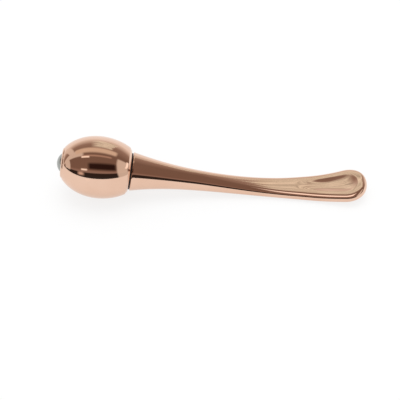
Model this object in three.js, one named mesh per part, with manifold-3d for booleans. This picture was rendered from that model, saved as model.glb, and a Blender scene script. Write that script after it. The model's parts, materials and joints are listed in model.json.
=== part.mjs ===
// Cosmetic spatula with a roller-ball massage head.
// Millimetres, +Z up. +X runs towards the blade, the head lies at -X.
// The head rests on the belly of its barrel and the handle on a small land under the blade.
import * as THREE from 'three';
import { mergeVertices } from 'three/addons/utils/BufferGeometryUtils.js';
import Module from 'manifold-3d';

const wasm = await Module();
wasm.setup();

// Head: distances run from the middle of the seam along the head's axis towards the nose
const barrelRadius = 11.25;
const barrelWidestAt = 11.55;
const barrelNoseReach = 14.9;
const barrelBackReach = 16.2;
const backFaceRadius = 7.4;
const backBevel = 0.8;
const shellWall = 1.6;
const backWall = 2.2;
const backBoreRadius = 6.0;
const seatWeb = 1.3;
const webHoleRadius = 3.0;

// Roller: the ball, the cup that it turns in and the ring that keeps it there
const ballRadius = 4.5;
const ballProud = 1.57;
const ballClearance = 0.12;
const socketRadius = 5.55;
const socketFloor = 1.4;
const socketVentRadius = 1.0;
const ringRise = 0.8;
const ringSkirt = 0.9;
const ringRimRadius = 4.35;
const noseEdgeLand = 0.2;

// Neck: the threaded stud, the bush that takes it and the washer in the seam
const seamWidth = 0.6;
const washerThickness = 0.36;
const washerRadius = 6.6;
const studRadius = 2.5;
const studInHandle = 8.0;
const studInBush = 7.5;
const studChamfer = 0.5;
const keyAcrossFlats = 2.5;
const keyDepth = 2.5;
const bushLength = 9.2;
const bushRecess = 0.1;
const drillPoint = 0.7;

// Handle and blade: distances run from the middle of the seam along +X
const headPitch = THREE.MathUtils.degToRad(9.42);
const rootRadius = 7.15;
const rootTaper = 0.24;
const rootBevel = 0.3;
const waistRadius = 3.58;
const waistAt = 32.5;
const flattenFrom = 20.2;
const flattenTo = 58.25;
const bladeThickness = 3.54;
const bladeHalfWidth = 7.9;
const bladeShoulderAt = 79.8;
const bladeFlare = 0.1885;
const restFrom = 59.4;
const restTo = 64.4;
const restTrim = 0.1;
const tipCurlRadius = 70.3;
const bladeEnd = 85.65;
const tipRound = 8.07;
const tipFullness = 1.93;
const edgeFullness = 4.0;
const dishDepth = 0.6;
const dishFrom = 59.0;
const dishRun = 14.0;
const dishRim = 2.9;

// Clearances
const fitGap = 0.2;
const seatGap = 0.15;
const threadGap = 0.2;

// Fineness of the facets
const turnedSides = 48;
const smallSides = 32;
const sectionPoints = 36;
const handleStep = 2.2;
const tipRings = 10;
const barrelSteps = 11;
const cavitySteps = 9;
const cupSteps = 9;
const domeSteps = 4;
const slopeStep = 0.01;
const weldDistance = 1e-5;

// Sizes that follow from the ones above
const bladeHalfThickness = bladeThickness / 2;
const tipStart = bladeEnd - tipRound;
const noseBoreRadius = socketRadius + fitGap;
const noseEdgeRadius = noseBoreRadius + noseEdgeLand;
const noseEdgeAt = barrelWidestAt + ellipseReach(noseEdgeRadius, barrelRadius, barrelNoseReach);
const rimAt = noseEdgeAt + ringRise;
const ballCentreAt = rimAt + ballProud - ballRadius;
const cupRadius = ballRadius + ballClearance;
const ringFootAt = noseEdgeAt - ringSkirt;
const socketFrontAt = ringFootAt - seatGap;
const socketBackAt = ballCentreAt - cupRadius - socketFloor;
const seatFaceAt = socketBackAt - seatGap;
const cavityEndAt = seatFaceAt - seatWeb;
const backFaceAt = seamWidth / 2;
const cavityStartAt = backFaceAt + backWall;
const bushRadius = backBoreRadius - fitGap;
const bushBackAt = backFaceAt + bushRecess;
const threadBoreRadius = studRadius + threadGap;
const neckHeight = Math.hypot(barrelBackReach * Math.sin(headPitch), barrelRadius * Math.cos(headPitch))
  - barrelWidestAt * Math.sin(headPitch);

// How far along its axis a half ellipse has fallen to the given radius
function ellipseReach(radius, fullRadius, reach) {
  return reach * Math.sqrt(1 - (radius / fullRadius) ** 2);
}

// Outer radius of the barrel at a distance from the seam
function barrelRadiusAt(along) {
  const reach = along > barrelWidestAt ? barrelNoseReach : barrelBackReach;
  const share = (along - barrelWidestAt) / reach;
  return barrelRadius * Math.sqrt(1 - share * share);
}

// Cubic between two values with given slopes at its ends
function cubic(at, from, to, valueA, valueB, slopeA, slopeB) {
  const span = to - from;
  const t = THREE.MathUtils.clamp((at - from) / span, 0, 1);
  const rest = 1 - t;
  return valueA * rest * rest * (1 + 2 * t) + slopeA * span * t * rest * rest
    + valueB * t * t * (1 + 2 * rest) - slopeB * span * t * t * rest;
}

// Slope of a line of the handle at one place
function slopeOf(line, at) {
  return (line(at + slopeStep) - line(at - slopeStep)) / (2 * slopeStep);
}

// Half width of the handle before its tip is rounded off
function sideLine(at) {
  if (at < waistAt) {
    return cubic(at, 0, waistAt, rootRadius, waistRadius, -rootTaper, 0);
  }
  const beyond = Math.max(0, at - bladeShoulderAt);
  return cubic(at, waistAt, bladeShoulderAt, waistRadius, bladeHalfWidth, 0, bladeFlare)
    + bladeFlare * beyond;
}

// Share of the way into the rounded tip, 1 at an outline that runs an inset inside the blade's end
function tipShare(at, inset) {
  return THREE.MathUtils.clamp((at - tipStart) / (tipRound - inset), 0, 1);
}

function halfWidth(at) {
  const round = 1 - tipShare(at, 0) ** tipFullness;
  return sideLine(at) * round ** (1 / tipFullness);
}

// Round like the side line near the head, then thinning to the blade, with a rounded end
function halfThickness(at) {
  const slope = slopeOf(sideLine, flattenFrom);
  const body = at < flattenFrom
    ? sideLine(at)
    : cubic(at, flattenFrom, flattenTo, sideLine(flattenFrom), bladeHalfThickness, slope, 0);
  const left = Math.min(bladeEnd - at, body);
  return Math.sqrt(body * body - (body - left) ** 2);
}

// Height of the middle of the section: down from the neck, level over the land, curling up after it
function centreHeight(at) {
  const landHeight = bladeHalfThickness - restTrim;
  const curl = Math.max(0, at - restTo);
  return cubic(at, 0, restFrom, neckHeight, landHeight, -Math.tan(headPitch), 0)
    + curl * curl / (2 * tipCurlRadius);
}

// Depth of the shallow dish in the blade's upper face
function dishAt(at, side) {
  if (at < dishFrom) {
    return 0;
  }
  const across = Math.abs(side) / (sideLine(at) - dishRim);
  const inside = 1 - across ** tipFullness - tipShare(at, dishRim) ** tipFullness;
  const run = THREE.MathUtils.smoothstep(at, dishFrom, dishFrom + dishRun);
  return dishDepth * run * Math.max(0, inside);
}

// One closed section of the handle, square to its centre line
function handleSection(at, bevel) {
  const wide = halfWidth(at) - bevel;
  const thick = Math.min(halfThickness(at) - bevel, wide);
  const tilt = Math.atan(slopeOf(centreHeight, at));
  const points = [];
  for (let i = 0; i < sectionPoints; i += 1) {
    const turn = 2 * Math.PI * i / sectionPoints;
    const flank = Math.tanh(edgeFullness * Math.cos(turn)) / Math.tanh(edgeFullness);
    const side = thick * Math.cos(turn) + (wide - thick) * flank;
    const dish = Math.sin(turn) > 0 ? dishAt(at, side) : 0;
    const rise = thick * Math.sin(turn) - dish;
    points.push([at - Math.sin(tilt) * rise, side, centreHeight(at) + Math.cos(tilt) * rise]);
  }
  return points;
}

// Stations along the handle, closer together in the rounded tip
function handleStations() {
  const start = seamWidth / 2;
  const bodyStart = start + rootBevel;
  const steps = Math.ceil((tipStart - bodyStart) / handleStep);
  const stations = [{ at: start, bevel: rootBevel }];
  for (let i = 0; i < steps; i += 1) {
    stations.push({ at: bodyStart + (tipStart - bodyStart) * i / steps, bevel: 0 });
  }
  for (let i = 0; i < tipRings; i += 1) {
    const share = Math.sin(Math.PI / 2 * i / tipRings);
    stations.push({ at: tipStart + tipRound * share, bevel: 0 });
  }
  return stations;
}

// Skin over a row of sections, closed by a fan at both ends
function loft(sections, startPole, endPole) {
  const count = sections[0].length;
  const positions = sections.flat(2);
  const startIndex = sections.length * count;
  const endIndex = startIndex + 1;
  const index = [];
  for (let i = 0; i < count; i += 1) {
    const next = (i + 1) % count;
    index.push(startIndex, next, i);
    for (let row = 0; row + 1 < sections.length; row += 1) {
      const low = row * count;
      const high = low + count;
      index.push(low + i, low + next, high + next);
      index.push(low + i, high + next, high + i);
    }
    const last = (sections.length - 1) * count;
    index.push(endIndex, last + i, last + next);
  }
  const geometry = new THREE.BufferGeometry();
  const all = [...positions, ...startPole, ...endPole];
  geometry.setAttribute('position', new THREE.Float32BufferAttribute(all, 3));
  geometry.setIndex(index);
  return geometry;
}

// Solid of revolution about Z from [radius, along] points, with a vertex pointing straight down
function turned(points, sides) {
  const profile = points.map(([radius, along]) => new THREE.Vector2(radius, along));
  const geometry = new THREE.LatheGeometry(profile, sides);
  geometry.rotateX(Math.PI / 2);
  return geometry;
}

// Points of an arc about a centre on the axis, as [radius, along] pairs
function axisArc(centre, radius, fromAngle, toAngle, steps) {
  const points = [];
  for (let i = 0; i <= steps; i += 1) {
    const angle = fromAngle + (toAngle - fromAngle) * i / steps;
    points.push([radius * Math.sin(angle), centre + radius * Math.cos(angle)]);
  }
  return points;
}

function toSolid(geometry) {
  const bare = geometry.clone();
  bare.deleteAttribute('normal');
  bare.deleteAttribute('uv');
  const merged = mergeVertices(bare, weldDistance);
  return new wasm.Manifold(new wasm.Mesh({
    numProp: 3,
    vertProperties: new Float32Array(merged.attributes.position.array),
    triVerts: new Uint32Array(merged.index.array),
  }));
}

function toGeometry(solid) {
  const mesh = solid.getMesh();
  const geometry = new THREE.BufferGeometry();
  geometry.setAttribute('position', new THREE.Float32BufferAttribute(mesh.vertProperties, 3));
  geometry.setIndex(Array.from(mesh.triVerts));
  return geometry;
}

function cut(geometry, ...cutters) {
  const solids = cutters.map(toSolid);
  return toGeometry(solids.reduce((left, cutter) => left.subtract(cutter), toSolid(geometry)));
}

// The head's own frame: +Z runs along its axis to the nose, +X is its upper side
const headFrame = new THREE.Matrix4()
  .makeTranslation(0, 0, neckHeight)
  .multiply(new THREE.Matrix4().makeRotationY(headPitch - Math.PI / 2));

// Die-cast handle and blade in one piece, with the stud's threaded hole in its root
function makeHandle() {
  const stations = handleStations();
  const sections = stations.map(({ at, bevel }) => handleSection(at, bevel));
  const startAt = stations[0].at;
  const body = loft(
    sections,
    [startAt, 0, centreHeight(startAt)],
    [bladeEnd, 0, centreHeight(bladeEnd)],
  );
  const depth = seamWidth / 2 + studInHandle + seatGap;
  const hole = turned([
    [0, -depth - drillPoint],
    [threadBoreRadius, -depth],
    [threadBoreRadius, 0],
    [0, 0],
  ], smallSides);
  hole.applyMatrix4(headFrame);
  const table = new THREE.BoxGeometry(3 * bladeEnd, 4 * barrelRadius, barrelRadius);
  table.translate(bladeEnd / 2, 0, -barrelRadius / 2);
  return cut(body, hole, table);
}

// Half of the barrel's outline, from one angle of its half ellipse to another
function barrelArc(reach, fromAngle, toAngle) {
  const points = [];
  for (let i = 0; i <= barrelSteps; i += 1) {
    const angle = fromAngle + (toAngle - fromAngle) * i / barrelSteps;
    points.push([barrelRadius * Math.sin(angle), barrelWidestAt - reach * Math.cos(angle)]);
  }
  return points;
}

// Hollow barrel, open behind for the bush and in front for the roller
function makeShell() {
  const bevelEnd = backFaceAt + backBevel;
  const backAngle = Math.acos((barrelWidestAt - bevelEnd) / barrelBackReach);
  const noseAngle = Math.PI - Math.asin(noseEdgeRadius / barrelRadius);
  const cavity = [];
  for (let i = 0; i <= cavitySteps; i += 1) {
    const along = cavityEndAt + (cavityStartAt - cavityEndAt) * i / cavitySteps;
    cavity.push([barrelRadiusAt(along) - shellWall, along]);
  }
  return turned([
    [backBoreRadius, backFaceAt],
    [backFaceRadius, backFaceAt],
    ...barrelArc(barrelBackReach, backAngle, Math.PI / 2),
    ...barrelArc(barrelNoseReach, Math.PI / 2, noseAngle).slice(1),
    [noseBoreRadius, noseEdgeAt],
    [noseBoreRadius, seatFaceAt],
    [webHoleRadius, seatFaceAt],
    [webHoleRadius, cavityEndAt],
    ...cavity,
    [backBoreRadius, cavityStartAt],
    [backBoreRadius, backFaceAt],
  ], turnedSides);
}

// Brass bush in the shell's back bore, threaded for the stud
function makeBush() {
  const holeEnd = backFaceAt + studInBush;
  return turned([
    [0, holeEnd + drillPoint],
    [threadBoreRadius, holeEnd],
    [threadBoreRadius, bushBackAt],
    [bushRadius, bushBackAt],
    [bushRadius, bushBackAt + bushLength],
    [0, bushBackAt + bushLength],
  ], smallSides);
}

// Headless screw, fixed in the handle, with a key socket in its free end
function makeStud() {
  const foot = -seamWidth / 2 - studInHandle;
  const top = backFaceAt + studInBush - seatGap;
  const body = turned([
    [0, foot],
    [studRadius - studChamfer, foot],
    [studRadius, foot + studChamfer],
    [studRadius, top - studChamfer],
    [studRadius - studChamfer, top],
    [0, top],
  ], smallSides);
  const keyRadius = keyAcrossFlats / Math.sqrt(3);
  const key = new THREE.CylinderGeometry(keyRadius, keyRadius, 2 * keyDepth, 6);
  key.rotateX(Math.PI / 2);
  key.translate(0, 0, top);
  return cut(body, key);
}

// Thin black washer, set back from the skin so that the seam reads as a groove
function makeWasher() {
  return turned([
    [threadBoreRadius, -washerThickness / 2],
    [washerRadius, -washerThickness / 2],
    [washerRadius, washerThickness / 2],
    [threadBoreRadius, washerThickness / 2],
    [threadBoreRadius, -washerThickness / 2],
  ], turnedSides);
}

// Cup in the nose bore, hollowed to the ball, with a vent hole through its floor
function makeSocket() {
  const lip = Math.acos((socketFrontAt - ballCentreAt) / cupRadius);
  const floor = Math.PI - Math.asin(socketVentRadius / cupRadius);
  return turned([
    [socketVentRadius, socketBackAt],
    [socketRadius, socketBackAt],
    [socketRadius, socketFrontAt],
    ...axisArc(ballCentreAt, cupRadius, lip, floor, cupSteps),
    [socketVentRadius, socketBackAt],
  ], turnedSides);
}

// Slim bright ring over the cup: its lip closes past the ball's widest circle
function makeNoseRing() {
  const lip = Math.acos((rimAt - ballCentreAt) / cupRadius);
  const foot = Math.acos((ringFootAt - ballCentreAt) / cupRadius);
  const dome = [];
  for (let i = 0; i <= domeSteps; i += 1) {
    const angle = Math.PI / 2 * i / domeSteps;
    dome.push([
      ringRimRadius + (socketRadius - ringRimRadius) * Math.cos(angle),
      noseEdgeAt + ringRise * Math.sin(angle),
    ]);
  }
  return turned([
    [socketRadius, ringFootAt],
    ...dome,
    ...axisArc(ballCentreAt, cupRadius, lip, foot, domeSteps),
    [socketRadius, ringFootAt],
  ], turnedSides);
}

// Steel ball
function makeBall() {
  const ball = new THREE.SphereGeometry(ballRadius, smallSides, smallSides / 2);
  ball.translate(0, 0, ballCentreAt);
  return ball;
}

const roseGold = { color: 0xc98a72, roughness: 0.08, metalness: 1.0 };
const steel = { color: 0x9aa09c, roughness: 0.12, metalness: 1.0 };
const darkSteel = { color: 0x5a5c60, roughness: 0.35, metalness: 1.0 };
const brass = { color: 0xb8944a, roughness: 0.3, metalness: 1.0 };
const blackNylon = { color: 0x17110f, roughness: 0.6, metalness: 0.0 };
const whiteAcetal = { color: 0xe8e4da, roughness: 0.45, metalness: 0.0 };

function piece(name, geometry, finish) {
  const mesh = new THREE.Mesh(geometry, new THREE.MeshStandardMaterial(finish));
  mesh.name = name;
  return mesh;
}

const head = new THREE.Group();
head.applyMatrix4(headFrame);
head.add(
  piece('joint_stud', makeStud(), darkSteel),
  piece('seam_washer', makeWasher(), blackNylon),
  piece('threaded_bush', makeBush(), brass),
  piece('head_shell', makeShell(), roseGold),
  piece('ball_socket', makeSocket(), whiteAcetal),
  piece('nose_ring', makeNoseRing(), roseGold),
  piece('roller_ball', makeBall(), steel),
);

const spatula = new THREE.Group();
spatula.add(piece('spatula_handle', makeHandle(), roseGold), head);

// The origin is under the middle of the whole length
spatula.updateMatrixWorld(true);
const extent = new THREE.Box3().setFromObject(spatula, true);
spatula.position.set(-(extent.min.x + extent.max.x) / 2, 0, 0);

export default spatula;
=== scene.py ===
"""Looks of a cosmetic spatula with a roller-ball massage head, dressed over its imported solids.

Sizes of the pieces are millimetres and those of the studio metres. The head's pieces are turned
about the axis of the joint that unscrews the head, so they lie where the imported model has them.
"""

import json
import logging
import math
from collections.abc import Callable
from dataclasses import dataclass, field
from enum import Enum
from functools import partial

import bmesh
import bpy
from bmesh.types import BMEdge, BMesh, BMVert
from bpy.types import Material, Node, NodeOutputs, NodeSocket, Object
from mathutils import Matrix, Vector


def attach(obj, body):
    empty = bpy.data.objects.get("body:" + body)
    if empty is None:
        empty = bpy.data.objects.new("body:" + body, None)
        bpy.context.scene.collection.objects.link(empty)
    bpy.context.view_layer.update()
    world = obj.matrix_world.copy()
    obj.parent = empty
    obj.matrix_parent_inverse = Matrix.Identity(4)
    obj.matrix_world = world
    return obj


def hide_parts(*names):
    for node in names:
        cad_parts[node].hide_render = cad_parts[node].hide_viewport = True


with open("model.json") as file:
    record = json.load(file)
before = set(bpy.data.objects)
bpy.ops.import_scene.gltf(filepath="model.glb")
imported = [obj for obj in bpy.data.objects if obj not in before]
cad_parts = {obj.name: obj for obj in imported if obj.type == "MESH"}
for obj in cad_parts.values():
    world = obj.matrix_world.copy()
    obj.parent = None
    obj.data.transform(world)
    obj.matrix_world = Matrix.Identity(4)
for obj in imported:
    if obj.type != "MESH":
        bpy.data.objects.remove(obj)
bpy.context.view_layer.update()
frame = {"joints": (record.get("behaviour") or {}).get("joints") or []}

MM = 0.001
WELD_DISTANCE = 1e-7
SHARP_ANGLE = math.radians(38.0)

# A Mix node gives its colour sockets the names of its other sockets, so they go by number.
MIX_FIRST_COLOUR = 6
MIX_SECOND_COLOUR = 7
MIX_COLOUR_RESULT = 2

log = logging.getLogger("spatula")

Colour = tuple[float, float, float]
Waves = tuple[float, float, float]
Place = tuple[float, float, float]
Pair = tuple[float, float]
ProfilePoint = tuple[float, float]
Profile = list[ProfilePoint]
Value = NodeSocket | float
Paint = NodeSocket | Colour


class Slot(Enum):
    """Material slots of the record, one for each finish of the pieces."""

    ROSE_GOLD = "rose_gold_plate"
    BALL_STEEL = "ball_steel"
    STUD_STEEL = "stud_steel"
    BRASS = "bush_brass"
    DARK_SEAM = "washer_black"
    WHITE_ACETAL = "socket_white"


class Body(Enum):
    """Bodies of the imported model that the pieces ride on."""

    HANDLE = "handle"
    WASHER = "washer"
    HEAD = "head"
    BALL = "ball"


class NodeSheet:
    """A material's node tree, with short ways to add and join nodes."""

    def __init__(self, name: str) -> None:
        """Start a material whose tree is empty.

        Args:
            name: The material's name.
        """
        self.material = bpy.data.materials.new(name)
        self.material.use_nodes = True
        self.tree = self.material.node_tree
        self.tree.nodes.clear()

    def node(self, kind: str, **settings: object) -> Node:
        """Add a node and set its properties.

        Args:
            kind: The node's type, without its ShaderNode prefix.
            settings: Properties of the node.

        Returns:
            The new node.
        """
        made = self.tree.nodes.new("ShaderNode" + kind)
        for key, value in settings.items():
            setattr(made, key, value)
        return made

    def join(self, output: NodeSocket, target: NodeSocket) -> None:
        """Link an output to an input."""
        self.tree.links.new(output, target)

    def feed(self, target: NodeSocket, value: Paint | float) -> None:
        """Give an input an output to follow, a colour or a number."""
        if isinstance(value, NodeSocket):
            self.join(value, target)
        elif isinstance(value, tuple):
            target.default_value = (*value, 1.0)
        else:
            target.default_value = value

    def axes(self) -> NodeOutputs:
        """Object coordinates, as the outputs X, Y and Z."""
        place = self.node("TexCoord")
        split = self.node("SeparateXYZ")
        self.join(place.outputs["Object"], split.inputs["Vector"])
        return split.outputs

    def noise(self, waves: Waves, detail: float, roughness: float = 0.5) -> NodeSocket:
        """Fractal noise on stretched object coordinates.

        Args:
            waves: Waves per metre along X, Y and Z.
            detail: Octaves of the noise.
            roughness: Weight of the finer octaves.

        Returns:
            The noise value, about 0.5 in the middle.
        """
        place = self.node("TexCoord")
        mapping = self.node("Mapping")
        mapping.inputs["Scale"].default_value = waves
        self.join(place.outputs["Object"], mapping.inputs["Vector"])
        texture = self.node("TexNoise")
        texture.inputs["Scale"].default_value = 1.0
        texture.inputs["Detail"].default_value = detail
        texture.inputs["Roughness"].default_value = roughness
        self.join(mapping.outputs["Vector"], texture.inputs["Vector"])
        return texture.outputs["Fac"]

    def spread(self, value: NodeSocket, low: float, high: float,
               to_low: float = 0.0, to_high: float = 1.0) -> NodeSocket:
        """Map a value from one range to another, held at its ends.

        Args:
            value: The value to map.
            low: Where the first range starts.
            high: Where the first range ends.
            to_low: Result at low.
            to_high: Result at high.

        Returns:
            The mapped value.
        """
        remap = self.node("MapRange")
        self.join(value, remap.inputs["Value"])
        for key, number in (("From Min", low), ("From Max", high), ("To Min", to_low), ("To Max", to_high)):
            remap.inputs[key].default_value = number
        return remap.outputs["Result"]

    def window(self, value: NodeSocket, low: float, high: float, fade: float) -> NodeSocket:
        """1 between two values, fading to 0 outside them.

        Args:
            value: The value to test.
            low: Where the window starts.
            high: Where it ends.
            fade: How far it fades.

        Returns:
            The window's share.
        """
        rising = self.spread(value, low - fade, low)
        falling = self.spread(value, high, high + fade, 1.0, 0.0)
        return self.math("MULTIPLY", rising, falling)

    def math(self, operation: str, first: Value, second: Value = 0.0) -> NodeSocket:
        """Combine two values.

        Args:
            operation: The Math node's operation.
            first: A socket or a number.
            second: A socket or a number.

        Returns:
            The result.
        """
        made = self.node("Math", operation=operation)
        self.feed(made.inputs[0], first)
        self.feed(made.inputs[1], second)
        return made.outputs["Value"]

    def blend(self, share: NodeSocket, first: Paint, second: Paint) -> NodeSocket:
        """Mix two colours.

        Args:
            share: Share of the second colour.
            first: Colour at share 0.
            second: Colour at share 1.

        Returns:
            The mixed colour.
        """
        mix = self.node("Mix", data_type="RGBA")
        self.join(share, mix.inputs["Factor"])
        self.feed(mix.inputs[MIX_FIRST_COLOUR], first)
        self.feed(mix.inputs[MIX_SECOND_COLOUR], second)
        return mix.outputs[MIX_COLOUR_RESULT]

    def patches(self, noise: NodeSocket, first: Colour, second: Colour) -> NodeSocket:
        """Soft patches of a second colour on a first one, where a noise is high."""
        patch_edge = (0.35, 0.7)
        return self.blend(self.spread(noise, *patch_edge), first, second)

    def relief(self, height: NodeSocket, distance: float, strength: float) -> NodeSocket:
        """Bump from a height pattern.

        Args:
            height: The pattern.
            distance: Height of the pattern in metres.
            strength: Share of the bump that is used.

        Returns:
            The bumped normal.
        """
        bump = self.node("Bump")
        bump.inputs["Strength"].default_value = strength
        bump.inputs["Distance"].default_value = distance
        self.join(height, bump.inputs["Height"])
        return bump.outputs["Normal"]

    def emission(self, colour: Paint) -> Node:
        """A shader that glows evenly in a colour."""
        glow = self.node("Emission")
        self.feed(glow.inputs["Color"], colour)
        return glow

    def mixed(self, share: NodeSocket, first: Node, second: Node) -> Node:
        """A mix of two shaders, with a share of the second."""
        mix = self.node("MixShader")
        self.join(share, mix.inputs[0])
        self.join(first.outputs[0], mix.inputs[1])
        self.join(second.outputs[0], mix.inputs[2])
        return mix

    def surface(self, shader: Node) -> Material:
        """Send a shader to the output and hand back the material."""
        output = self.node("OutputMaterial")
        self.join(shader.outputs[0], output.inputs["Surface"])
        return self.material


@dataclass(frozen=True)
class PolishedMetal:
    """A polished metal with faint mottling, wiped smudges and hairline scratches."""

    name: str
    colour: Colour
    worn_colour: Colour
    roughness: float
    smudge: float
    scratch_waves: Waves
    ripple: float = 0.000004
    mottle_waves: Waves = (90.0, 90.0, 90.0)
    smudge_waves: Waves = (70.0, 260.0, 260.0)
    ripple_waves: Waves = (160.0, 160.0, 160.0)
    smudge_edge: Pair = (0.42, 0.68)
    scratch_edge: Pair = (0.69, 0.74)
    scratch_depth: float = 0.08

    def build(self) -> Material:
        """Make the material.

        Returns:
            The finished material.
        """
        sheet = NodeSheet(self.name)
        shader = sheet.node("BsdfPrincipled")
        shader.inputs["Metallic"].default_value = 1.0
        mottle = sheet.noise(self.mottle_waves, detail=3.0)
        sheet.join(sheet.patches(mottle, self.colour, self.worn_colour), shader.inputs["Base Color"])
        wiped = sheet.spread(sheet.noise(self.smudge_waves, detail=4.0), *self.smudge_edge, 0.0, self.smudge)
        lines = sheet.noise(self.scratch_waves, detail=2.0, roughness=0.7)
        hairline = sheet.spread(lines, *self.scratch_edge)
        rough = sheet.math("ADD", sheet.math("MULTIPLY", hairline, 2.0 * self.smudge), wiped)
        sheet.join(sheet.math("ADD", rough, self.roughness), shader.inputs["Roughness"])
        swell = sheet.noise(self.ripple_waves, detail=1.0)
        height = sheet.math("SUBTRACT", swell, sheet.math("MULTIPLY", hairline, self.scratch_depth))
        sheet.join(sheet.relief(height, self.ripple, strength=1.0), shader.inputs["Normal"])
        return sheet.surface(shader)


@dataclass(frozen=True)
class GrainedFinish:
    """A finish with soft patches of a second colour, and a fine grain in its gloss and relief."""

    name: str
    colour: Colour
    second_colour: Colour
    roughness: float
    grain_depth: float
    metallic: float
    shine: float
    patch_waves: Waves
    patch_detail: float
    grain_waves: Waves
    grain_detail: float
    grain_roughness: float
    grain_strength: float
    smoother: float
    rougher: float
    grain_edge: Pair = (0.3, 0.7)

    def build(self) -> Material:
        """Make the material.

        Returns:
            The finished material.
        """
        sheet = NodeSheet(self.name)
        shader = sheet.node("BsdfPrincipled")
        shader.inputs["Metallic"].default_value = self.metallic
        shader.inputs["Specular IOR Level"].default_value = self.shine
        patches = sheet.noise(self.patch_waves, self.patch_detail)
        sheet.join(sheet.patches(patches, self.colour, self.second_colour), shader.inputs["Base Color"])
        grain = sheet.noise(self.grain_waves, self.grain_detail, self.grain_roughness)
        limits = (self.roughness - self.smoother, self.roughness + self.rougher)
        sheet.join(sheet.spread(grain, *self.grain_edge, *limits), shader.inputs["Roughness"])
        sheet.join(sheet.relief(grain, self.grain_depth, self.grain_strength), shader.inputs["Normal"])
        return sheet.surface(shader)


# A machined metal with fine tool marks.
turned_metal = partial(
    GrainedFinish, metallic=1.0, shine=0.5, patch_waves=(420.0, 420.0, 420.0), patch_detail=4.0,
    grain_waves=(9000.0, 300.0, 300.0), grain_detail=2.0, grain_roughness=0.6, grain_strength=0.5,
    smoother=0.06, rougher=0.08)
# A moulded plastic with fine grain and a faint flow pattern.
moulded_plastic = partial(
    GrainedFinish, metallic=0.0, shine=0.45, patch_waves=(240.0, 500.0, 500.0), patch_detail=5.0,
    grain_waves=(5200.0, 5200.0, 5200.0), grain_detail=3.0, grain_roughness=0.5, grain_strength=0.6,
    smoother=0.08, rougher=0.08)


@dataclass(frozen=True)
class Finishes:
    """The finishes of the spatula, each made once."""

    rose_gold: PolishedMetal = PolishedMetal(
        "rose_gold_plating", (0.80, 0.545, 0.415), (0.765, 0.505, 0.375),
        roughness=0.045, smudge=0.035, scratch_waves=(26.0, 3400.0, 3400.0))
    ball_steel: PolishedMetal = PolishedMetal(
        "polished_ball_steel", (0.40, 0.41, 0.39), (0.34, 0.35, 0.33),
        roughness=0.09, smudge=0.05, scratch_waves=(2600.0, 180.0, 2600.0), ripple=0.000002)
    stud_steel: GrainedFinish = turned_metal(
        "blackened_stud_steel", (0.19, 0.19, 0.20), (0.12, 0.11, 0.11), roughness=0.34, grain_depth=0.000006)
    brass: GrainedFinish = turned_metal(
        "turned_brass", (0.66, 0.47, 0.19), (0.52, 0.36, 0.14), roughness=0.26, grain_depth=0.000008)
    # Near-black finish of the seam washer: it draws the seam between head and handle as a dark line.
    dark_seam_finish: GrainedFinish = moulded_plastic(
        "dark_seam_finish", (0.012, 0.010, 0.010), (0.022, 0.018, 0.017), roughness=0.55, grain_depth=0.00002)
    white_acetal: GrainedFinish = moulded_plastic(
        "white_acetal", (0.78, 0.76, 0.71), (0.72, 0.69, 0.63), roughness=0.38, grain_depth=0.00001)


def object_from(name: str, mesh: BMesh, finish: Material) -> Object:
    """Make an object from a mesh, which is used up, and link it."""
    data = bpy.data.meshes.new(name)
    mesh.to_mesh(data)
    mesh.free()
    data.materials.append(finish)
    made = bpy.data.objects.new(name, data)
    bpy.context.scene.collection.objects.link(made)
    return made


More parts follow.
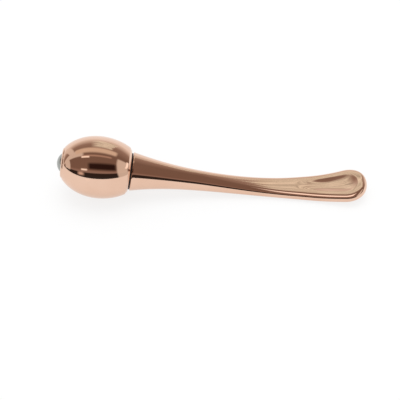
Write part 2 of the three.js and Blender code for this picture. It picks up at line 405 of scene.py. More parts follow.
class Piece:
    """One visible piece: a bmesh that becomes an object with a finish and a body to ride on."""

    def __init__(self, name: str, body: Body, slot: Slot, *nodes: str) -> None:
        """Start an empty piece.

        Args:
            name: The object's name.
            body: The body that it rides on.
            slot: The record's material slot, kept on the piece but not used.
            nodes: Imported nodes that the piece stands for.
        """
        self.name = name
        self.body = body
        self.slot = slot
        self.nodes = nodes
        self.mesh = bmesh.new()

    def wrap(self, rows: int, sides: int, place: Callable[[int, float], Vector]) -> list[BMEdge]:
        """Roll a grid into a tube and close its seam.

        Args:
            rows: Cells along the tube.
            sides: Cells around it.
            place: Gives a vertex's place from its row number and its turn in radians.

        Returns:
            The edges of the ends that stay open.
        """
        made = bmesh.ops.create_grid(self.mesh, x_segments=rows, y_segments=sides, size=1.0)
        for vert in made["verts"]:
            row = round((vert.co.x + 1.0) / 2.0 * rows)
            turn = round((vert.co.y + 1.0) / 2.0 * sides) % sides
            vert.co = place(row, 2.0 * math.pi * turn / sides)
        self.merge()
        return [edge for edge in self.mesh.edges if edge.is_boundary]

    def turn(self, profile: Profile, sides: int) -> None:
        """Turn a profile about Z into a ring or a solid.

        Args:
            profile: Points of radius and place along the axis. A ring ends where it starts.
            sides: Facets around the axis.
        """
        closed = profile[0] == profile[-1]
        points = profile[:-1] if closed else profile
        verts = [self.mesh.verts.new((radius * MM, 0.0, along * MM)) for radius, along in points]
        pairs = list(zip(verts, verts[1:]))
        if closed:
            pairs.append((verts[-1], verts[0]))
        edges = [self.mesh.edges.new(pair) for pair in pairs]
        bmesh.ops.spin(self.mesh, geom=verts + edges, cent=(0.0, 0.0, 0.0), axis=(0.0, 0.0, 1.0),
                       dvec=(0.0, 0.0, 0.0), angle=2.0 * math.pi, steps=sides, use_merge=True)

    def extend_rim(self, rim: list[BMEdge], place: Callable[[Vector], Vector]) -> list[BMEdge]:
        """Extrude an open rim and move the new vertices.

        Args:
            rim: Edges of the open rim.
            place: Gives a new vertex's place from its old one.

        Returns:
            The new rim.
        """
        made = bmesh.ops.extrude_edge_only(self.mesh, edges=rim)["geom"]
        for vert in (item for item in made if isinstance(item, BMVert)):
            vert.co = place(vert.co)
        return [item for item in made if isinstance(item, BMEdge) and len(item.link_faces) < 2]

    def merge(self) -> None:
        """Merge vertices that lie on one spot."""
        bmesh.ops.remove_doubles(self.mesh, verts=self.mesh.verts, dist=WELD_DISTANCE)

    def finish(self, finish: Material, place: Matrix | None = None) -> Object:
        """Make the object, dress it and set it on its body.

        Args:
            finish: The piece's material.
            place: Where the mesh goes, or None if it lies there already.

        Returns:
            The finished object.
        """
        self.merge()
        bmesh.ops.recalc_face_normals(self.mesh, faces=self.mesh.faces)
        if place is not None:
            self.mesh.transform(place)
        for face in self.mesh.faces:
            face.smooth = True
        made = object_from(self.name, self.mesh, finish)
        made.data.set_sharp_from_angle(angle=SHARP_ANGLE)
        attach(made, self.body.value)
        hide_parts(*self.nodes)
        log.info("%s: %d faces on %s", self.name, len(made.data.polygons), self.body.value)
        return made


def cubic(at: float, start: float, end: float, values: Pair, slopes: Pair) -> float:
    """Cubic between two values with given slopes at its ends.

    Args:
        at: Place along the cubic, held between start and end.
        start: Where it starts.
        end: Where it ends.
        values: Values at the start and at the end.
        slopes: Slopes at the start and at the end.

    Returns:
        The value at the place.
    """
    span = end - start
    share = min(max((at - start) / span, 0.0), 1.0)
    rest = 1.0 - share
    return (values[0] * rest * rest * (1.0 + 2.0 * share) + slopes[0] * span * share * rest * rest
            + values[1] * share * share * (1.0 + 2.0 * rest) - slopes[1] * span * share * share * rest)


def polar(radius: float, turn: float, along: float) -> Vector:
    """A point about the +Z axis, from millimetres to metres."""
    return Vector((radius * math.cos(turn), radius * math.sin(turn), along)) * MM


def arc(centre: float, radius: float, start: float, end: float, steps: int) -> Profile:
    """Profile points on a circle about a centre on the axis.

    Args:
        centre: Place of the centre along the axis.
        radius: The circle's radius.
        start: First angle from the axis.
        end: Last angle from the axis.
        steps: Steps from the first to the last.

    Returns:
        Points of radius and place along the axis.
    """
    angles = [start + (end - start) * step / steps for step in range(steps + 1)]
    return [(radius * math.sin(angle), centre + radius * math.cos(angle)) for angle in angles]


def rounded(corner: ProfilePoint, before: ProfilePoint, after: ProfilePoint, size: float) -> Profile:
    """Round one corner of a profile.

    Args:
        corner: The corner.
        before: The point that the profile comes from.
        after: The point that it goes on to.
        size: Length taken off each side.

    Returns:
        Points that take the corner's place.
    """
    steps = 4
    peak = Vector(corner)
    first = peak + (Vector(before) - peak).normalized() * size
    last = peak + (Vector(after) - peak).normalized() * size
    points = []
    for step in range(steps + 1):
        share = step / steps
        spot = first * (1 - share) ** 2 + peak * (2 * share * (1 - share)) + last * share ** 2
        points.append((spot.x, spot.y))
    return points


def joint_row(name: str) -> dict:
    """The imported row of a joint."""
    return next(row for row in frame["joints"] if row["name"] == name)


@dataclass
class Neck:
    """The joint between head and handle: seam, washer, stud and bush, in millimetres."""

    seam_width: float = 0.6
    washer_thickness: float = 0.36
    washer_radius: float = 6.6
    washer_edge: float = 0.12
    stud_radius: float = 2.5
    stud_in_handle: float = 8.0
    stud_in_bush: float = 7.5
    stud_chamfer: float = 0.5
    stud_seat: float = 0.15
    thread_pitch: float = 0.8
    thread_depth: float = 0.38
    thread_gap: float = 0.2
    flank_steepness: float = 1.6
    rows_per_pitch: int = 10
    drill_point: float = 0.7
    key_across_flats: float = 2.5
    key_depth: float = 2.5
    bush_radius: float = 5.8
    bush_length: float = 9.2
    bush_recess: float = 0.1
    bush_chamfer: float = 0.25
    sides: int = 96
    seam: Vector = field(default_factory=lambda: Vector(joint_row("head_unscrew")["pos_m"]))
    along: Vector = field(default_factory=lambda: Vector(joint_row("head_unscrew")["axis"]).normalized())

    @property
    def bore_radius(self) -> float:
        """Radius of the threaded holes."""
        return self.stud_radius + self.thread_gap

    @property
    def placement(self) -> Matrix:
        """Places things that are modelled with +Z to the nose and the seam at the origin."""
        across = Vector((0.0, 1.0, 0.0))
        upper = across.cross(self.along)
        turned = Matrix((upper, across, self.along)).transposed().to_4x4()
        return Matrix.Translation(self.seam) @ turned

    def washer(self, finish: Material) -> Object:
        """The thin washer in the seam, with soft edges. It is near black, so the seam between head and
        handle shows as a dark line.
        """
        half = self.washer_thickness / 2.0
        inner = self.bore_radius
        corners = [(inner, -half), (self.washer_radius, -half), (self.washer_radius, half), (inner, half)]
        profile: Profile = []
        for index, corner in enumerate(corners):
            before = corners[index - 1]
            after = corners[(index + 1) % len(corners)]
            profile.extend(rounded(corner, before, after, self.washer_edge))
        piece = Piece("black_seam_washer", Body.WASHER, Slot.DARK_SEAM, "seam_washer")
        piece.turn([*profile, profile[0]], self.sides)
        return piece.finish(finish, self.placement)

    def stud(self, finish: Material) -> Object:
        """The headless screw: a rolled thread between chamfered ends, with a key socket."""
        foot = -self.seam_width / 2.0 - self.stud_in_handle
        top = self.seam_width / 2.0 + self.stud_in_bush - self.stud_seat
        rows = round((top - foot) / self.thread_pitch * self.rows_per_pitch)

        def thread_point(row: int, turn: float) -> Vector:
            """A point of the thread, from its row and its turn."""
            along = foot + (top - foot) * row / rows
            return polar(self.thread_radius(along, turn, min(along - foot, top - along)), turn, along)

        piece = Piece("threaded_stud", Body.HANDLE, Slot.STUD_STEEL, "joint_stud")
        rims = piece.wrap(rows, self.sides, thread_point)
        foot_rim = [edge for edge in rims if edge.verts[0].co.z < 0.0]
        top_rim = [edge for edge in rims if edge.verts[0].co.z > 0.0]
        bmesh.ops.contextual_create(piece.mesh, geom=foot_rim)
        key_floor = top - self.key_depth
        mouth = piece.extend_rim(top_rim, partial(self.hexagon_point, top))
        bottom = piece.extend_rim(mouth, partial(self.hexagon_point, key_floor))
        piece.extend_rim(bottom, lambda spot: polar(0.0, 0.0, key_floor))
        return piece.finish(finish, self.placement)

    def thread_radius(self, along: float, turn: float, end_room: float) -> float:
        """Radius of the stud's rolled thread at one place.

        Args:
            along: Place along the axis.
            turn: Angle around it.
            end_room: Distance to the nearer end of the stud.

        Returns:
            The radius.
        """
        phase = (along / self.thread_pitch - turn / (2.0 * math.pi)) % 1.0
        flank = min(1.0, self.flank_steepness * abs(2.0 * phase - 1.0)) * self.thread_depth
        chamfered = self.stud_radius - max(0.0, self.stud_chamfer - end_room)
        return min(self.stud_radius - self.thread_depth + flank, chamfered)

    def hexagon_point(self, along: float, spot: Vector) -> Vector:
        """The place on the key socket's hexagon that lies in a point's direction.

        Args:
            along: Place along the axis, in millimetres.
            spot: The point.

        Returns:
            The place on the hexagon, in metres.
        """
        turn = math.atan2(spot.y, spot.x)
        sector = math.pi / 3.0
        offset = (turn + sector / 2.0) % sector - sector / 2.0
        return polar(self.key_across_flats / 2.0 / math.cos(offset), turn, along)

    def bush(self, finish: Material) -> Object:
        """The brass bush in the shell's back. Rings stand for the thread in its countersunk hole."""
        back = self.seam_width / 2.0 + self.bush_recess
        front = back + self.bush_length
        hole_end = self.seam_width / 2.0 + self.stud_in_bush
        inner = self.bore_radius
        profile = [(0.0, hole_end + self.drill_point), (inner, hole_end)]
        along = hole_end
        quarter = self.thread_pitch / 4.0
        while along - self.thread_pitch > back + self.bush_chamfer:
            profile.append((inner, along - quarter))
            profile.append((inner + self.thread_depth / 2.0, along - 2.0 * quarter))
            profile.append((inner, along - 3.0 * quarter))
            along -= self.thread_pitch
        profile += [
            (inner, back + self.bush_chamfer),
            (inner + self.bush_chamfer, back),
            (self.bush_radius - self.bush_chamfer, back),
            (self.bush_radius, back + self.bush_chamfer),
            (self.bush_radius, front - self.bush_chamfer),
            (self.bush_radius - self.bush_chamfer, front),
            (0.0, front),
        ]
        piece = Piece("brass_thread_bush", Body.HEAD, Slot.BRASS, "threaded_bush")
        piece.turn(profile, self.sides)
        return piece.finish(finish, self.placement)


@dataclass
class Handle:
    """The handle and blade, in millimetres along +X from the middle of the seam."""

    neck: Neck
    head_pitch: float = math.radians(9.42)
    root_radius: float = 7.15
    root_taper: float = 0.24
    root_bevel: float = 0.3
    waist_radius: float = 3.58
    waist_at: float = 32.5
    flatten_from: float = 20.2
    flatten_to: float = 58.25
    blade_thickness: float = 3.54
    blade_half_width: float = 7.9
    blade_shoulder_at: float = 79.8
    blade_flare: float = 0.1885
    rest_from: float = 59.4
    rest_to: float = 64.4
    rest_trim: float = 0.1
    tip_curl_radius: float = 70.3
    blade_end: float = 85.65
    tip_round: float = 8.07
    tip_fullness: float = 1.93
    edge_fullness: float = 4.0
    dish_depth: float = 0.6
    dish_from: float = 59.0
    dish_run: float = 14.0
    dish_rim: float = 2.9
    bore_chamfer: float = 0.35
    slope_step: float = 0.01
    bevel_rows: int = 4
    body_rows: int = 300
    tip_rows: int = 48
    sides: int = 144

    @property
    def tip_start(self) -> float:
        """Where the rounded tip starts."""
        return self.blade_end - self.tip_round

    def slope_of(self, line: Callable[[float], float], at: float) -> float:
        """Slope of a line of the handle at one place."""
        step = self.slope_step
        return (line(at + step) - line(at - step)) / (2.0 * step)

    def side_line(self, at: float) -> float:
        """Half width before the tip is rounded off."""
        if at < self.waist_at:
            widths = (self.root_radius, self.waist_radius)
            return cubic(at, 0.0, self.waist_at, widths, (-self.root_taper, 0.0))
        beyond = max(0.0, at - self.blade_shoulder_at)
        widths = (self.waist_radius, self.blade_half_width)
        return cubic(at, self.waist_at, self.blade_shoulder_at, widths, (0.0, self.blade_flare)) \
            + self.blade_flare * beyond

    def tip_share(self, at: float, inset: float) -> float:
        """Share of the way into the rounded tip of an outline that runs an inset inside the end."""
        return min(max((at - self.tip_start) / (self.tip_round - inset), 0.0), 1.0)

    def half_width(self, at: float) -> float:
        """Half width with the tip rounded off."""
        left = 1.0 - self.tip_share(at, 0.0) ** self.tip_fullness
        return self.side_line(at) * left ** (1.0 / self.tip_fullness)

    def half_thickness(self, at: float) -> float:
        """Half thickness: round near the head, thinning to the blade, with a rounded end."""
        body = self.side_line(at)
        if at >= self.flatten_from:
            slope = self.slope_of(self.side_line, self.flatten_from)
            ends = (self.side_line(self.flatten_from), self.blade_thickness / 2.0)
            body = cubic(at, self.flatten_from, self.flatten_to, ends, (slope, 0.0))
        left = min(self.blade_end - at, body)
        return math.sqrt(max(0.0, body * body - (body - left) ** 2))

    def centre_height(self, at: float) -> float:
        """Height of the middle of the section."""
        land = self.blade_thickness / 2.0 - self.rest_trim
        curl = max(0.0, at - self.rest_to)
        heights = (self.neck.seam.z / MM, land)
        return cubic(at, 0.0, self.rest_from, heights, (-math.tan(self.head_pitch), 0.0)) \
            + curl * curl / (2.0 * self.tip_curl_radius)

    def dish_at(self, at: float, side: float) -> float:
        """Depth of the shallow dish in the blade's upper face."""
        if at < self.dish_from:
            return 0.0
        across = abs(side) / (self.side_line(at) - self.dish_rim)
        inside = 1.0 - across ** self.tip_fullness - self.tip_share(at, self.dish_rim) ** self.tip_fullness
        share = min(max((at - self.dish_from) / self.dish_run, 0.0), 1.0)
        return self.dish_depth * share * share * (3.0 - 2.0 * share) * max(0.0, inside)

    def skin_point(self, at: float, bevel: float, turn: float) -> Vector:
        """A point of the handle's skin.

        Args:
            at: Place along the handle.
            bevel: How far the section is drawn in.
            turn: Angle around the section, with the upper face at a quarter turn.

        Returns:
            The point, in metres.
        """
        wide = self.half_width(at) - bevel
        thick = min(self.half_thickness(at) - bevel, wide)
        tilt = math.atan(self.slope_of(self.centre_height, at))
        flank = math.tanh(self.edge_fullness * math.cos(turn)) / math.tanh(self.edge_fullness)
        side = thick * math.cos(turn) + (wide - thick) * flank
        dish = self.dish_at(at, side) if math.sin(turn) > 0.0 else 0.0
        rise = thick * math.sin(turn) - dish
        height = max(0.0, self.centre_height(at) + math.cos(tilt) * rise)
        along = self.neck.seam.x + (at - math.sin(tilt) * rise) * MM
        return Vector((along, side * MM, height * MM))

    def station(self, row: int) -> Pair:
        """Place along the handle of one row of the skin, and how far its section is drawn in."""
        start = self.neck.seam_width / 2.0
        body_start = start + self.root_bevel
        if row < self.bevel_rows:
            angle = math.pi / 2.0 * row / self.bevel_rows
            drawn_in = self.root_bevel * (1.0 - math.sin(angle))
            return start + self.root_bevel * (1.0 - math.cos(angle)), drawn_in
        row -= self.bevel_rows
        if row < self.body_rows:
            return body_start + (self.tip_start - body_start) * row / self.body_rows, 0.0
        angle = math.pi / 2.0 * (row - self.body_rows) / self.tip_rows
        return self.tip_start + self.tip_round * math.sin(angle), 0.0

    def skin(self, finish: Material) -> Object:
        """The plated casting, from the bored root to the tip of the blade."""
        piece = Piece("rose_gold_handle", Body.HANDLE, Slot.ROSE_GOLD, "spatula_handle")
        rows = self.bevel_rows + self.body_rows + self.tip_rows
        rim = piece.wrap(rows, self.sides, lambda row, turn: self.skin_point(*self.station(row), turn))
        face_at = -self.neck.seam_width / 2.0
        depth = face_at - self.neck.stud_in_handle - self.neck.stud_seat
        bore = self.neck.bore_radius
        steps = [(bore + self.bore_chamfer, face_at), (bore, face_at - self.bore_chamfer), (bore, depth),
                 (0.0, depth - self.neck.drill_point)]
        for radius, along in steps:
            rim = piece.extend_rim(rim, partial(self.bore_point, radius, along))
        return piece.finish(finish)

    def bore_point(self, radius: float, along: float, spot: Vector) -> Vector:
        """A point of the root's bore in the direction of a point of its rim.

        Args:
            radius: Distance from the axis, in millimetres.
            along: Place along the axis, in millimetres.
            spot: The rim's point.

        Returns:
            The point, in metres.
        """
        placement = self.neck.placement
        local = placement.inverted() @ spot
        return placement @ polar(radius, math.atan2(local.y, local.x), along)


@dataclass
class MassageHead:
    """The barrel head with its cup, ring and ball, in millimetres from the seam to the nose."""

    neck: Neck
    barrel_radius: float = 11.25
    widest_at: float = 11.55
    nose_reach: float = 14.9
    back_reach: float = 16.2
    back_face_radius: float = 7.4
    back_bevel: float = 0.8
    shell_wall: float = 1.6
    back_wall: float = 2.2
    back_bore_radius: float = 6.0
    seat_web: float = 1.3
    web_hole_radius: float = 3.0
    ball_radius: float = 4.5
    ball_proud: float = 1.57
    ball_clearance: float = 0.12
    socket_radius: float = 5.55
    socket_floor: float = 1.4
    socket_vent_radius: float = 1.0
    ring_rise: float = 0.8
    ring_skirt: float = 0.9
    ring_rim_radius: float = 4.35
    nose_land: float = 0.2
    fit_gap: float = 0.2
    seat_gap: float = 0.15
    edge_round: float = 0.12
    sides: int = 192
    arc_steps: int = 48

    @property
    def nose_bore_radius(self) -> float:
        """Radius of the bore that takes the cup."""
        return self.socket_radius + self.fit_gap

    @property
    def nose_edge_radius(self) -> float:
        """Radius at which the barrel's skin ends at the nose."""
        return self.nose_bore_radius + self.nose_land

    @property
    def nose_edge_at(self) -> float:
        """Where the barrel's skin ends at the nose."""
        share = self.nose_edge_radius / self.barrel_radius
        return self.widest_at + self.nose_reach * math.sqrt(1.0 - share * share)

    @property
    def rim_at(self) -> float:
        """Where the nose ring ends."""
        return self.nose_edge_at + self.ring_rise

    @property
    def ball_at(self) -> float:
        """Place of the ball's centre."""
        return self.rim_at + self.ball_proud - self.ball_radius

    @property
    def cup_radius(self) -> float:
        """Radius of the hollow that the ball turns in."""
        return self.ball_radius + self.ball_clearance

    @property
    def ring_foot_at(self) -> float:
        """Where the nose ring starts inside the bore."""
        return self.nose_edge_at - self.ring_skirt

    @property
    def socket_back_at(self) -> float:
        """Back of the cup."""
        return self.ball_at - self.cup_radius - self.socket_floor

    def barrel_radius_at(self, along: float) -> float:
        """Outer radius of the barrel at a place along the axis."""
        reach = self.nose_reach if along > self.widest_at else self.back_reach
        share = (along - self.widest_at) / reach
        return self.barrel_radius * math.sqrt(1.0 - share * share)

    def barrel_arc(self, reach: float, start: float, end: float) -> Profile:
        """Points of one half of the barrel's outline, between two angles of its half ellipse."""
        angles = [start + (end - start) * step / self.arc_steps for step in range(self.arc_steps + 1)]
        return [(self.barrel_radius * math.sin(angle), self.widest_at - reach * math.cos(angle))
                for angle in angles]

    def shell(self, finish: Material) -> Object:
        """The hollow plated barrel, open behind for the bush and in front for the roller."""
        face_at = self.neck.seam_width / 2.0
        cavity_start = face_at + self.back_wall
        seat_at = self.socket_back_at - self.seat_gap
        cavity_end = seat_at - self.seat_web
        back_angle = math.acos((self.widest_at - face_at - self.back_bevel) / self.back_reach)
        nose_angle = math.pi - math.asin(self.nose_edge_radius / self.barrel_radius)
        back = self.barrel_arc(self.back_reach, back_angle, math.pi / 2.0)
        front = self.barrel_arc(self.nose_reach, math.pi / 2.0, nose_angle)
        cavity = []
        for step in range(self.arc_steps + 1):
            along = cavity_end + (cavity_start - cavity_end) * step / self.arc_steps
            cavity.append((self.barrel_radius_at(along) - self.shell_wall, along))
        face_corner = (self.back_face_radius, face_at)
        bore_corner = (self.nose_bore_radius, self.nose_edge_at)
        seat_corner = (self.nose_bore_radius, seat_at)
        mouth = (self.back_bore_radius, face_at)
        profile = [
            mouth,
            *rounded(face_corner, mouth, back[0], self.edge_round),
            *rounded(back[0], face_corner, back[1], self.edge_round),
            *back[1:],
            *front[1:-1],
            *rounded(front[-1], front[-2], bore_corner, self.edge_round / 2.0),
            *rounded(bore_corner, front[-1], seat_corner, self.edge_round / 2.0),
            seat_corner,
            (self.web_hole_radius, seat_at),
            (self.web_hole_radius, cavity_end),
            *cavity,
            (self.back_bore_radius, cavity_start),
            mouth,
        ]
        piece = Piece("rose_gold_barrel", Body.HEAD, Slot.ROSE_GOLD, "head_shell")
        piece.turn(profile, self.sides)
        return piece.finish(finish, self.neck.placement)

    def ring(self, finish: Material) -> Object:
        """The slim bright ring whose lip keeps the ball in."""
        lip = math.acos((self.rim_at - self.ball_at) / self.cup_radius)
        foot = math.acos((self.ring_foot_at - self.ball_at) / self.cup_radius)
        steps = self.arc_steps // 3
        dome = []
        for step in range(steps + 1):
            angle = math.pi / 2.0 * step / steps
            radius = self.ring_rim_radius + (self.socket_radius - self.ring_rim_radius) * math.cos(angle)
            dome.append((radius, self.nose_edge_at + self.ring_rise * math.sin(angle)))
        start = (self.socket_radius, self.ring_foot_at)
        profile = [start, *dome, *arc(self.ball_at, self.cup_radius, lip, foot, steps), start]
        piece = Piece("rose_gold_nose_ring", Body.HEAD, Slot.ROSE_GOLD, "nose_ring")
        piece.turn(profile, self.sides)
        return piece.finish(finish, self.neck.placement)

    def socket(self, finish: Material) -> Object:
        """The white cup that the ball turns in."""
        front_at = self.ring_foot_at - self.seat_gap
        lip = math.acos((front_at - self.ball_at) / self.cup_radius)
        floor = math.pi - math.asin(self.socket_vent_radius / self.cup_radius)
        start = (self.socket_vent_radius, self.socket_back_at)
        back_corner = (self.socket_radius, self.socket_back_at)
        front_corner = (self.socket_radius, front_at)
        profile = [
            start,
            *rounded(back_corner, start, front_corner, self.edge_round * 2.0),
            front_corner,
            *arc(self.ball_at, self.cup_radius, lip, floor, self.arc_steps),
            start,
        ]
        piece = Piece("white_ball_cup", Body.HEAD, Slot.WHITE_ACETAL, "ball_socket")
        piece.turn(profile, self.sides)
        return piece.finish(finish, self.neck.placement)

    def ball(self, finish: Material) -> Object:
        """The steel ball, round all over so that it can roll."""
        piece = Piece("steel_roller_ball", Body.BALL, Slot.BALL_STEEL, "roller_ball")
        bmesh.ops.create_icosphere(piece.mesh, subdivisions=6, radius=self.ball_radius * MM,
                                   matrix=Matrix.Translation((0.0, 0.0, self.ball_at * MM)))
        return piece.finish(finish, self.neck.placement)


def staged_plane(name: str, finish: Material, centre: Vector, facing: Vector,
                 width: float, depth: float) -> Object:
    """Make a rectangle of the studio that looks at a point.

    Args:
        name: The object's name.
        finish: Its material.
        centre: The rectangle's middle.
        facing: The point that it looks at.
        width: Its size along X.
        depth: Its other size.

    Returns:
        The object.
    """
    grid = bmesh.new()
    bmesh.ops.create_grid(grid, x_segments=1, y_segments=1, size=0.5)
    bmesh.ops.scale(grid, vec=(width, depth, 1.0), verts=grid.verts)
    made = object_from(name, grid, finish)
    normal = (facing - centre).normalized()
    upper = normal.cross(Vector((1.0, 0.0, 0.0))).normalized()
    turned = Matrix((upper.cross(normal), upper, normal)).transposed().to_4x4()
    made.matrix_world = Matrix.Translation(centre) @ turned
    return made


def mirrored_only(thing: Object) -> None:
    """Leave a part of the studio to be seen in polished surfaces alone."""
    thing.visible_camera = False
    thing.visible_diffuse = False
    thing.visible_shadow = False


def direction(azimuth: float, height: float) -> Vector:
    """The way to a thing in the studio.

    Args:
        azimuth: Degrees to the right.
        height: Degrees up from level on the camera's side, so that 180 is level behind.

    Returns:
        A vector of length 1.
    """
    side = math.radians(azimuth)
    rise = math.radians(height)
    return Vector((math.sin(side), -math.cos(side) * math.cos(rise), math.cos(side) * math.sin(rise)))


@dataclass(frozen=True)
class Card:
    """A small light or dark card of the studio, placed by direction from what it faces."""

    name: str
    azimuth: float
    height: float
    width: float
    depth: float
    light: Colour
    distance: float = 0.045
    fade: float = 0.004

    def build(self, facing: Vector) -> None:
        """Set up the card.

        Args:
            facing: The point that it faces.
        """
        sheet = NodeSheet(self.name)
        axes = sheet.axes()
        half_width = self.width / 2.0 - self.fade
        half_depth = self.depth / 2.0 - self.fade
        shown = sheet.math("MULTIPLY", sheet.window(axes["X"], -half_width, half_width, self.fade),
                           sheet.window(axes["Y"], -half_depth, half_depth, self.fade))
        shader = sheet.mixed(shown, sheet.node("BsdfTransparent"), sheet.emission(self.light))
        centre = facing + direction(self.azimuth, self.height) * self.distance
        mirrored_only(staged_plane(self.name, sheet.surface(shader), centre, facing, self.width, self.depth))


HEAD_CARDS = (
    Card("dark_card", 12.0, 45.0, 0.052, 0.024, (0.030, 0.014, 0.012), fade=0.007),
    Card("overhead_strip", -2.0, 101.0, 0.078, 0.020, (0.78, 0.68, 0.58), fade=0.006),
    Card("upper_glow", 2.0, 80.0, 0.050, 0.007, (0.50, 0.36, 0.30), fade=0.003),
    Card("upper_spark", -20.0, 76.0, 0.015, 0.006, (1.25, 1.20, 1.15), fade=0.002),
    Card("middle_spark", -24.0, 33.0, 0.012, 0.006, (1.15, 1.10, 1.05), fade=0.002),
    Card("middle_glow", -32.0, 18.0, 0.014, 0.012, (0.75, 0.58, 0.50), fade=0.005),
    Card("lower_spark", -19.0, -1.0, 0.008, 0.003, (1.15, 1.10, 1.05), fade=0.001),
)
BLADE_CARDS = (
    Card("edge_light", -6.0, 72.0, 0.030, 0.034, (1.35, 1.28, 1.25), distance=0.050, fade=0.003),
)


@dataclass(frozen=True)
class StreakedBoard:
    """A pale streaked board behind the object, which the blade mirrors."""

    along: float = 0.010
    above: float = 0.010
    height: float = 137.0
    distance: float = 0.30
    size: float = 0.20
    streak_waves: Waves = (9.0, 75.0, 1.0)
    streak_edge: Pair = (0.36, 0.56)
    ragged_depth: float = 0.11
    ragged_edge: Pair = (0.012, 0.024)
    left_edge: Pair = (-0.10, -0.04)
    end_fade: float = 0.03
    dark: Colour = (0.42, 0.42, 0.36)
    pale: Colour = (1.0, 1.03, 0.93)

    def build(self) -> None:
        """Set up the board, whose right end is torn along its streaks."""
        sheet = NodeSheet("streaked_board")
        axes = sheet.axes()
        half = self.size / 2.0
        streaks = sheet.noise(self.streak_waves, detail=5.0, roughness=0.62)
        torn = sheet.math("MULTIPLY", sheet.math("SUBTRACT", streaks, 0.5), self.ragged_depth)
        room = sheet.math("ADD", sheet.math("SUBTRACT", half, axes["X"]), torn)
        upright = sheet.window(axes["Y"], self.end_fade - half, half - self.end_fade, self.end_fade)
        shown = sheet.math("MULTIPLY", sheet.spread(room, *self.ragged_edge), upright)
        shown = sheet.math("MULTIPLY", shown, sheet.spread(axes["X"], *self.left_edge))
        streaked = sheet.blend(sheet.spread(streaks, *self.streak_edge), self.dark, self.pale)
        shader = sheet.mixed(shown, sheet.node("BsdfTransparent"), sheet.emission(streaked))
        facing = Vector((self.along, 0.0, self.above))
        centre = facing + direction(0.0, self.height) * self.distance
        board = staged_plane("streaked_board", sheet.surface(shader), centre, facing, self.size, self.size)
        mirrored_only(board)


@dataclass(frozen=True)
class Panel:
    """A bright panel in the surround, between two azimuths and two heights in degrees."""

    azimuths: Pair
    heights: Pair
    side_fade: float
    end_fade: float = 8.0


@dataclass(frozen=True)
class Surround:
    """The room around the object, which only the polished surfaces mirror."""

    radius: float = 1.6
    bands: tuple[tuple[float, Colour], ...] = (
        (0.00, (0.035, 0.030, 0.030)),
        (0.105, (0.035, 0.022, 0.018)),
        (0.125, (0.34, 0.25, 0.22)),
        (0.16, (0.30, 0.20, 0.165)),
        (0.19, (0.225, 0.150, 0.120)),
        (0.56, (0.225, 0.155, 0.125)),
        (0.76, (0.36, 0.27, 0.23)),
        (0.88, (0.80, 0.74, 0.70)),
        (0.94, (1.0, 1.0, 1.0)),
        (1.00, (1.0, 1.0, 1.0)),
    )
    right: Panel = Panel((41.0, 64.0), (-10.0, 84.0), side_fade=4.0)
    left: Panel = Panel((-80.0, -65.0), (20.0, 108.0), side_fade=3.0)
    back: Panel = Panel((-56.0, -45.0), (110.0, 168.0), side_fade=3.0)
    left_sky: Panel = Panel((-90.0, -29.0), (88.0, 112.0), side_fade=6.0, end_fade=6.0)
    panel_share: float = 0.85
    panel_light: Colour = (0.86, 0.82, 0.78)

    def build(self) -> None:
        """Set up the room: bands by height, as shares of the half turn over the object, and panels."""
        sheet = NodeSheet("studio_surround")
        axes = sheet.axes()
        height = sheet.math("ARCTAN2", axes["Z"], sheet.math("MULTIPLY", axes["Y"], -1.0))
        side = sheet.math("ARCSINE", sheet.math("DIVIDE", axes["X"], self.radius))
        bands = sheet.node("ValToRGB")
        sheet.join(sheet.math("DIVIDE", height, math.pi), bands.inputs["Fac"])
        given_stops = len(bands.color_ramp.elements)
        for index, (spot, colour) in enumerate(self.bands):
            stops = bands.color_ramp.elements
            stop = stops[index] if index < given_stops else stops.new(spot)
            stop.position = spot
            stop.color = (*colour, 1.0)
        degree = 180.0 / math.pi
        azimuth_degrees = sheet.math("MULTIPLY", side, degree)
        height_degrees = sheet.math("MULTIPLY", height, degree)
        bright: Value = 0.0
        for panel in (self.right, self.left, self.back, self.left_sky):
            beside = sheet.window(azimuth_degrees, *panel.azimuths, panel.side_fade)
            within = sheet.window(height_degrees, *panel.heights, panel.end_fade)
            bright = sheet.math("MAXIMUM", bright, sheet.math("MULTIPLY", beside, within))
        share = sheet.math("MULTIPLY", bright, self.panel_share)
        shader = sheet.emission(sheet.blend(share, bands.outputs["Color"], self.panel_light))
        sphere = bmesh.new()
        bmesh.ops.create_uvsphere(sphere, u_segments=96, v_segments=48, radius=self.radius)
        bmesh.ops.bisect_plane(sphere, geom=[*sphere.verts, *sphere.edges, *sphere.faces], dist=0.0,
                               plane_co=(0.0, 0.0, 0.0), plane_no=(0.0, 0.0, 1.0), clear_inner=True)
        shell = object_from("surround", sphere, sheet.surface(shader))
        mirrored_only(shell)


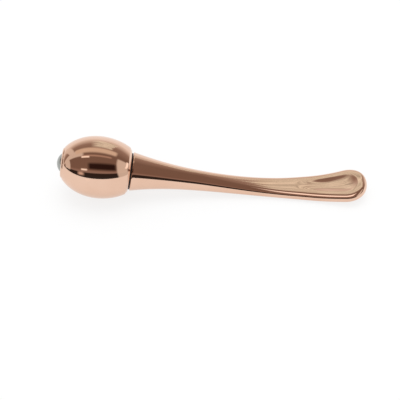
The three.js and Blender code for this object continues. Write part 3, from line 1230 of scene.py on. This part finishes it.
@dataclass
class Studio:
    """Floor, surround, cards, lamp and camera. Lengths in metres, angles in degrees."""

    neck: Neck
    floor_size: float = 6.0
    floor_white: Colour = (0.82, 0.82, 0.82)
    floor_glow: float = 0.78
    white: Colour = (1.0, 1.0, 1.0)
    world_light: float = 1.0
    lamp_place: Place = (0.0, 0.15, 0.9)
    lamp_size: float = 0.7
    lamp_watts: float = 3.0
    camera_pitch: float = 45.0
    camera_distance: float = 0.380
    camera_turn: float = 1.38
    camera_roll: float = -0.48
    camera_lens: float = 91.98
    sensor_width: float = 36.0
    target_along: float = 0.02502
    target_height: float = -0.00547
    blade_along: float = 0.075

    def floor(self) -> None:
        """A white floor that keeps the object's soft shadow."""
        sheet = NodeSheet("white_floor")
        matt = sheet.node("BsdfDiffuse")
        sheet.feed(matt.inputs["Color"], self.floor_white)
        path = sheet.node("LightPath")
        seen = sheet.math("MAXIMUM", path.outputs["Is Camera Ray"], path.outputs["Is Glossy Ray"])
        seen = sheet.math("MAXIMUM", seen, path.outputs["Is Transmission Ray"])
        share = sheet.math("MULTIPLY", seen, self.floor_glow)
        finish = sheet.surface(sheet.mixed(share, matt, sheet.emission(self.white)))
        middle = Vector((0.0, 0.0, 0.0))
        upward = Vector((0.0, 0.0, 1.0))
        staged_plane("floor", finish, middle, upward, self.floor_size, self.floor_size)

    def light(self) -> None:
        """White surroundings and one large soft lamp overhead."""
        world = bpy.data.worlds.new("studio")
        bpy.context.scene.world = world
        world.use_nodes = True
        background = world.node_tree.nodes["Background"]
        background.inputs["Color"].default_value = (*self.white, 1.0)
        background.inputs["Strength"].default_value = self.world_light
        lamp = bpy.data.lights.new("softbox", "AREA")
        lamp.shape = "DISK"
        lamp.size = self.lamp_size
        lamp.energy = self.lamp_watts
        held = bpy.data.objects.new("softbox", lamp)
        held.location = self.lamp_place
        held.visible_glossy = False
        bpy.context.scene.collection.objects.link(held)

    def camera(self) -> None:
        """The camera at the photograph's viewing angle."""
        pitch = math.radians(self.camera_pitch)
        turn = math.radians(self.camera_turn)
        roll = math.radians(self.camera_roll)
        right = Vector((math.cos(turn), math.sin(turn), 0.0))
        level = Vector((-math.sin(turn), math.cos(turn), 0.0))
        upward = level * math.sin(pitch) + Vector((0.0, 0.0, math.cos(pitch)))
        back = level * -math.cos(pitch) + Vector((0.0, 0.0, math.sin(pitch)))
        side_axis = right * math.cos(roll) + upward * math.sin(roll)
        top_axis = upward * math.cos(roll) - right * math.sin(roll)
        target = Vector((self.neck.seam.x, 0.0, self.target_height)) + right * self.target_along
        lens = bpy.data.cameras.new("camera")
        lens.lens = self.camera_lens
        lens.sensor_width = self.sensor_width
        lens.clip_start = 0.01
        lens.clip_end = 20.0
        held = bpy.data.objects.new("camera", lens)
        turned = Matrix((side_axis, top_axis, back)).transposed().to_4x4()
        held.matrix_world = Matrix.Translation(target + back * self.camera_distance) @ turned
        bpy.context.scene.collection.objects.link(held)
        bpy.context.scene.camera = held

    def build(self) -> None:
        """Set up the whole studio."""
        self.floor()
        Surround().build()
        head_middle = self.neck.seam + self.neck.along * MassageHead.widest_at * MM
        for card in HEAD_CARDS:
            card.build(head_middle)
        for card in BLADE_CARDS:
            card.build(Vector((self.neck.seam.x + self.blade_along, 0.0, 0.0)))
        StreakedBoard().build()
        self.light()
        self.camera()
        bpy.context.scene.view_settings.view_transform = "Standard"


def main() -> None:
    """Build the pieces in order, then the studio around them."""
    logging.basicConfig(level=logging.INFO, format="%(name)s: %(message)s")
    finishes = Finishes()
    rose_gold = finishes.rose_gold.build()
    neck = Neck()
    neck.washer(finishes.dark_seam_finish.build())
    neck.stud(finishes.stud_steel.build())
    neck.bush(finishes.brass.build())
    Handle(neck).skin(rose_gold)
    head = MassageHead(neck)
    head.shell(rose_gold)
    head.ring(rose_gold)
    head.socket(finishes.white_acetal.build())
    head.ball(finishes.ball_steel.build())
    Studio(neck).build()


if __name__ == "__main__":
    main()
